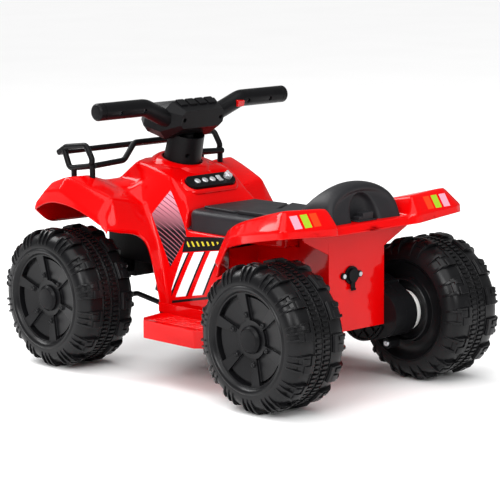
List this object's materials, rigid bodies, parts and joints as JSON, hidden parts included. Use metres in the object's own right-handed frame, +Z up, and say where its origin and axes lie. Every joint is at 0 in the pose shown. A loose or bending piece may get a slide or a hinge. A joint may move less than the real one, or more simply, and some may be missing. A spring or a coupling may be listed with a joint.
{
  "type": "kids quad bike",
  "caption": "Battery ride-on quad bike for a small child: red plastic body with fenders, black seat, rack and handlebars, knobbly plastic wheels, linked steering and a geared rear wheel.",
  "frame": {"origin": "on the floor, midway between the axles and between the wheels", "axes": "+X forward, +Y to the rider's left, +Z up"},
  "size_m": [0.654, 0.42, 0.4053],
  "materials": {
    "red_plastic": "gloss moulded plastic",
    "black_plastic": "fine satin grain",
    "wheel_plastic": "blow-moulded satin plastic",
    "seat_plastic": "leather-grain moulded plastic",
    "silver_plastic": "silver lacquered plastic",
    "signal_red": "gloss",
    "lens_plastic": "clear frosted plastic",
    "steel": "zinc plated",
    "white_nylon": "moulded nylon",
    "brass": "machined",
    "battery_case": "plain case"
  },
  "bodies": {
    "chassis": {"body_shell": "red_plastic", "seat": "seat_plastic", "backrest": "seat_plastic", "front_rack": "black_plastic", "dash_panel": "black_plastic", "headlights": "lens_plastic", "steering_bush": "black_plastic", "front_carrier": "black_plastic", "kingpin_left": "steel", "kingpin_right": "steel", "floor_pan": "black_plastic", "footrest_left": "red_plastic", "footrest_right": "red_plastic", "rear_box": "red_plastic", "gearbox_inner": "black_plastic", "gearbox_outer": "black_plastic", "gearbox_screws": "steel", "motor": "steel", "rear_axle": "steel", "axle_sleeve": "black_plastic", "rear_nuts": "steel", "battery": "battery_case", "control_board": "battery_case", "speaker": "black_plastic", "charge_socket": "black_plastic", "charge_screws": "steel"},
    "steering": {"handlebar_rear_half": "black_plastic", "handlebar_front_half": "black_plastic", "throttle_switch": "black_plastic", "handlebar_screws": "steel", "grip_cap_left": "black_plastic", "grip_cap_right": "black_plastic", "steering_rod": "steel"},
    "throttle": {"throttle_button": "signal_red"},
    "left_knuckle": {"knuckle_left": "black_plastic", "stub_axle_left": "steel", "front_nut_left": "steel"},
    "right_knuckle": {"knuckle_right": "black_plastic", "stub_axle_right": "steel", "front_nut_right": "steel"},
    "drag_link": {"tie_rod": "steel"},
    "front_left_wheel": {"wheel_front_left": "wheel_plastic", "hub_cap_front_left": "black_plastic"},
    "front_right_wheel": {"wheel_front_right": "wheel_plastic", "hub_cap_front_right": "black_plastic"},
    "rear_left_wheel": {"wheel_rear_left": "wheel_plastic", "hub_cap_rear_left": "black_plastic"},
    "rear_right_wheel": {"wheel_rear_right": "wheel_plastic", "hub_cap_rear_right": "black_plastic", "output_gear": "white_nylon"},
    "idler": {"reduction_gear": "white_nylon"},
    "pinion": {"motor_pinion": "brass"},
    "button_one": {"dash_button_one": "silver_plastic"},
    "button_two": {"dash_button_two": "silver_plastic"},
    "button_three": {"dash_button_three": "silver_plastic"},
    "rocker": {"rocker_switch": "silver_plastic"},
    "key": {"key_knob": "silver_plastic"},
    "socket_lid": {"charge_cap": "black_plastic"}
  },
  "joints": [
    {"name": "steer", "type": "hinge", "parent": "chassis", "child": "steering", "pos_m": [0.14008, 0, 0.30094], "axis": [-0.2756, 0, 0.9613], "range_deg": [-20, 20]},
    {"name": "left_knuckle_turn", "type": "hinge", "parent": "chassis", "child": "left_knuckle", "pos_m": [0.222, 0.12, 0.136], "axis": [0, 0, 1], "range_deg": [-20, 20]},
    {"name": "right_knuckle_turn", "type": "hinge", "parent": "chassis", "child": "right_knuckle", "pos_m": [0.222, -0.12, 0.136], "axis": [0, 0, 1], "range_deg": [-20, 20]},
    {"name": "drag_link_swing", "type": "hinge", "parent": "left_knuckle", "child": "drag_link", "pos_m": [0.19, 0.12, 0.097], "axis": [0, 0, 1], "range_deg": [-20, 20]},
    {"name": "front_left_spin", "type": "hinge", "parent": "left_knuckle", "child": "front_left_wheel", "pos_m": [0.222, 0.158, 0.105], "axis": [0, 1, 0], "continuous": true},
    {"name": "front_right_spin", "type": "hinge", "parent": "right_knuckle", "child": "front_right_wheel", "pos_m": [0.222, -0.158, 0.105], "axis": [0, 1, 0], "continuous": true},
    {"name": "rear_left_spin", "type": "hinge", "parent": "chassis", "child": "rear_left_wheel", "pos_m": [-0.222, 0.158, 0.105], "axis": [0, 1, 0], "continuous": true},
    {"name": "rear_right_spin", "type": "hinge", "parent": "chassis", "child": "rear_right_wheel", "pos_m": [-0.222, -0.158, 0.105], "axis": [0, 1, 0], "continuous": true},
    {"name": "idler_spin", "type": "hinge", "parent": "chassis", "child": "idler", "pos_m": [-0.18734, -0.078, 0.10987], "axis": [0, 1, 0], "continuous": true},
    {"name": "pinion_spin", "type": "hinge", "parent": "chassis", "child": "pinion", "pos_m": [-0.1606, -0.07, 0.11363], "axis": [0, 1, 0], "continuous": true},
    {"name": "throttle_press", "type": "slide", "parent": "steering", "child": "throttle", "axis": [0.9613, 0, 0.2756], "range_m": [0, 0.003], "stiffness_N_per_m": 500},
    {"name": "button_one_press", "type": "slide", "parent": "chassis", "child": "button_one", "axis": [0.5407, 0, -0.8412], "range_m": [0, 0.0015], "stiffness_N_per_m": 600},
    {"name": "button_two_press", "type": "slide", "parent": "chassis", "child": "button_two", "axis": [0.5407, 0, -0.8412], "range_m": [0, 0.0015], "stiffness_N_per_m": 600},
    {"name": "button_three_press", "type": "slide", "parent": "chassis", "child": "button_three", "axis": [0.5407, 0, -0.8412], "range_m": [0, 0.0015], "stiffness_N_per_m": 600},
    {"name": "rocker_tilt", "type": "hinge", "parent": "chassis", "child": "rocker", "pos_m": [0.076, -0.01692, 0.27712], "axis": [0, 1, 0], "range_deg": [-6, 6]},
    {"name": "key_turn", "type": "hinge", "parent": "chassis", "child": "key", "pos_m": [0.07438, -0.0329, 0.27964], "axis": [-0.5407, 0, 0.8412], "range_deg": [0, 60]},
    {"name": "socket_lid_open", "type": "hinge", "parent": "chassis", "child": "socket_lid", "pos_m": [-0.23615, 0.012, 0.15303], "axis": [0, -1, 0], "range_deg": [0, 110]}
  ],
  "couplings": [
    {"joint": "left_knuckle_turn", "follows": "steer", "ratio": 1},
    {"joint": "right_knuckle_turn", "follows": "steer", "ratio": 1},
    {"joint": "drag_link_swing", "follows": "steer", "ratio": -1},
    {"joint": "idler_spin", "follows": "rear_right_spin", "ratio": -4},
    {"joint": "pinion_spin", "follows": "rear_right_spin", "ratio": 14}
  ]
}
